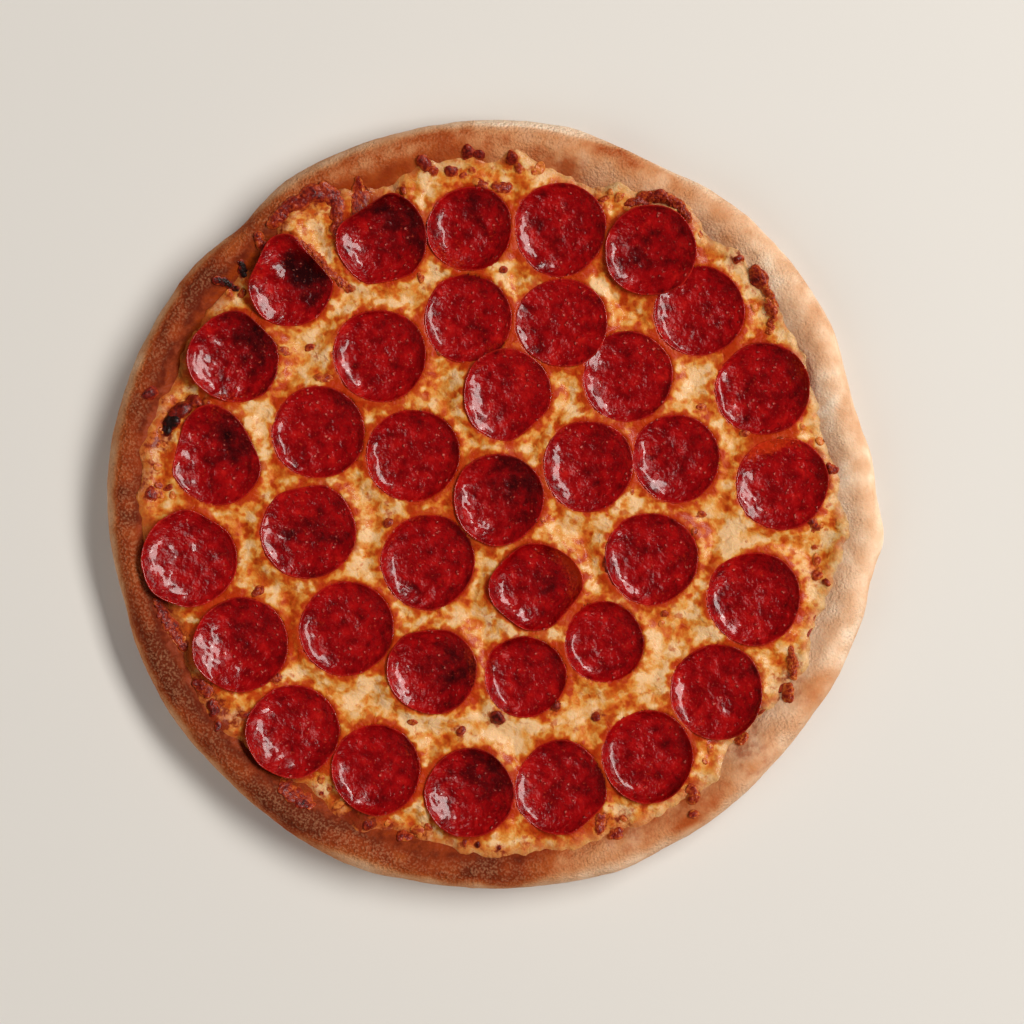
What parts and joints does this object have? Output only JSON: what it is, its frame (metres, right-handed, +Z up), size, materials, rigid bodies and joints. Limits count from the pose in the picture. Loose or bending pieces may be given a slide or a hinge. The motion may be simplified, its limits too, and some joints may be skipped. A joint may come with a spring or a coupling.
{
  "type": "pepperoni pizza",
  "caption": "Whole baked round pizza with a raised crust, tomato sauce, melted cheese and cupped pepperoni slices that lie close together.",
  "frame": {"origin": "middle of the flat underside of the dough, the centre of the round it was stretched to", "axes": "+Z up through the toppings, +Y towards the far side in the picture, +X to the right in the picture"},
  "size_m": [0.3594, 0.356, 0.0253],
  "materials": {
    "baked_dough": "baked crust, floury and browned in patches",
    "tomato_sauce": "moist tomato sauce, dried at its edge",
    "melted_cheese": "oily melted cheese, toasted in spots",
    "pepperoni": "wet, oily cured sausage"
  },
  "bodies": {
    "root": {"dough": "baked_dough", "tomato_sauce": "tomato_sauce", "melted_cheese": "melted_cheese", "pepperoni_outer_01": "pepperoni", "pepperoni_outer_02": "pepperoni", "pepperoni_outer_03": "pepperoni", "pepperoni_outer_04": "pepperoni", "pepperoni_outer_05": "pepperoni", "pepperoni_outer_06": "pepperoni", "pepperoni_outer_07": "pepperoni", "pepperoni_outer_08": "pepperoni", "pepperoni_outer_09": "pepperoni", "pepperoni_outer_10": "pepperoni", "pepperoni_outer_11": "pepperoni", "pepperoni_outer_12": "pepperoni", "pepperoni_outer_13": "pepperoni", "pepperoni_outer_14": "pepperoni", "pepperoni_outer_15": "pepperoni", "pepperoni_outer_16": "pepperoni", "pepperoni_outer_17": "pepperoni", "pepperoni_outer_18": "pepperoni", "pepperoni_outer_19": "pepperoni", "pepperoni_middle_01": "pepperoni", "pepperoni_middle_02": "pepperoni", "pepperoni_middle_03": "pepperoni", "pepperoni_middle_04": "pepperoni", "pepperoni_middle_05": "pepperoni", "pepperoni_middle_06": "pepperoni", "pepperoni_middle_07": "pepperoni", "pepperoni_middle_08": "pepperoni", "pepperoni_middle_09": "pepperoni", "pepperoni_middle_10": "pepperoni", "pepperoni_middle_11": "pepperoni", "pepperoni_middle_12": "pepperoni", "pepperoni_inner_01": "pepperoni", "pepperoni_inner_02": "pepperoni", "pepperoni_inner_03": "pepperoni", "pepperoni_inner_04": "pepperoni", "pepperoni_inner_05": "pepperoni", "pepperoni_inner_06": "pepperoni"}
  },
  "joints": []
}
